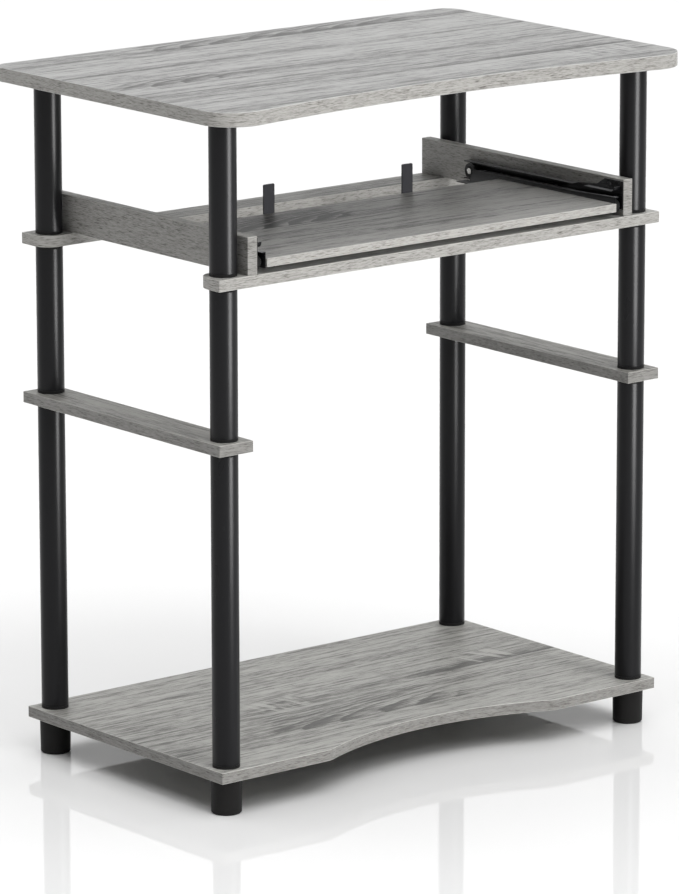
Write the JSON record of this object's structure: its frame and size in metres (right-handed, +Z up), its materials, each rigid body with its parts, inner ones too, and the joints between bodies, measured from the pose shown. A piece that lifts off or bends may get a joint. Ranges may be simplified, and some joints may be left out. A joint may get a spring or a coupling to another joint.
{
  "type": "computer desk",
  "caption": "Compact tube-frame computer desk: bowed wood top, roller-slide keyboard tray with rear stops, side rails and a scooped bottom shelf.",
  "frame": {"origin": "on the floor under the middle of the desk top", "axes": "+X right along the front, +Y to the back (the front faces -Y), +Z up"},
  "size_m": [0.624, 0.4, 0.736],
  "materials": {
    "desk_laminate": "grey driftwood oak print laminate on particle board, satin",
    "shelf_laminate": "grey driftwood oak print laminate on particle board, satin",
    "stretcher_laminate": "grey driftwood oak print laminate on particle board, satin",
    "side_rail_laminate": "grey driftwood oak print laminate on particle board, satin",
    "slide_panel_laminate": "grey driftwood oak print laminate on particle board, satin",
    "tray_laminate": "grey driftwood oak print laminate on particle board, satin",
    "tube_black": "satin black tube",
    "plug_black": "moulded black end plug",
    "foot_black": "moulded matt black foot",
    "zinc_steel": "bright zinc plated steel",
    "slide_black": "glossy black coated steel",
    "roller_black": "black nylon",
    "nickel_steel": "nickel plated rivet",
    "stop_black": "black powder coat",
    "black_screw": "black oxide screw"
  },
  "bodies": {
    "frame": {"desk_top": "desk_laminate", "bottom_shelf": "shelf_laminate", "front_stretcher": "stretcher_laminate", "rear_stretcher": "stretcher_laminate", "side_rail_left": "side_rail_laminate", "side_rail_right": "side_rail_laminate", "slide_panel_left": "slide_panel_laminate", "slide_panel_right": "slide_panel_laminate", "lower_tube_front_left": "tube_black", "lower_tube_front_right": "tube_black", "lower_tube_rear_left": "tube_black", "lower_tube_rear_right": "tube_black", "lower_tube_plugs": "plug_black", "middle_tube_front_left": "tube_black", "middle_tube_front_right": "tube_black", "middle_tube_rear_left": "tube_black", "middle_tube_rear_right": "tube_black", "middle_tube_plugs": "plug_black", "upper_tube_front_left": "tube_black", "upper_tube_front_right": "tube_black", "upper_tube_rear_left": "tube_black", "upper_tube_rear_right": "tube_black", "upper_tube_plugs": "plug_black", "foot_front_left": "foot_black", "foot_front_right": "foot_black", "foot_rear_left": "foot_black", "foot_rear_right": "foot_black", "board_studs": "zinc_steel", "top_studs": "zinc_steel", "cabinet_rail_left": "slide_black", "cabinet_rail_right": "slide_black", "front_roller_rivets": "nickel_steel", "cabinet_rail_screws": "black_screw", "panel_screws": "zinc_steel"},
    "tray": {"keyboard_tray": "tray_laminate", "drawer_rail_left": "slide_black", "drawer_rail_right": "slide_black", "keyboard_stop_left": "stop_black", "keyboard_stop_right": "stop_black", "stop_screws": "black_screw", "drawer_rail_screws": "zinc_steel", "rear_roller_rivets": "nickel_steel"},
    "front_roller_left": {"front_roller_left": "roller_black"},
    "front_roller_right": {"front_roller_right": "roller_black"},
    "rear_roller_left": {"rear_roller_left": "roller_black"},
    "rear_roller_right": {"rear_roller_right": "roller_black"}
  },
  "joints": [
    {"name": "tray_slide", "type": "slide", "parent": "frame", "child": "tray", "axis": [0, -1, 0], "range_m": [0, 0.185]},
    {"name": "front_roller_left_spin", "type": "hinge", "parent": "frame", "child": "front_roller_left", "pos_m": [-0.2416, -0.157, 0.5731], "axis": [1, 0, 0], "range_deg": [-10, 1616]},
    {"name": "front_roller_right_spin", "type": "hinge", "parent": "frame", "child": "front_roller_right", "pos_m": [0.2416, -0.157, 0.5731], "axis": [1, 0, 0], "range_deg": [-10, 1616]},
    {"name": "rear_roller_left_spin", "type": "hinge", "parent": "tray", "child": "rear_roller_left", "pos_m": [-0.2398, 0.072, 0.5789], "axis": [1, 0, 0], "range_deg": [-10, 1335]},
    {"name": "rear_roller_right_spin", "type": "hinge", "parent": "tray", "child": "rear_roller_right", "pos_m": [0.2398, 0.072, 0.5789], "axis": [1, 0, 0], "range_deg": [-10, 1335]}
  ],
  "couplings": [
    {"joint": "front_roller_left_spin", "follows": "tray_slide", "rad_per_m": 151.51},
    {"joint": "front_roller_right_spin", "follows": "tray_slide", "rad_per_m": 151.51},
    {"joint": "rear_roller_left_spin", "follows": "tray_slide", "rad_per_m": 125},
    {"joint": "rear_roller_right_spin", "follows": "tray_slide", "rad_per_m": 125}
  ]
}
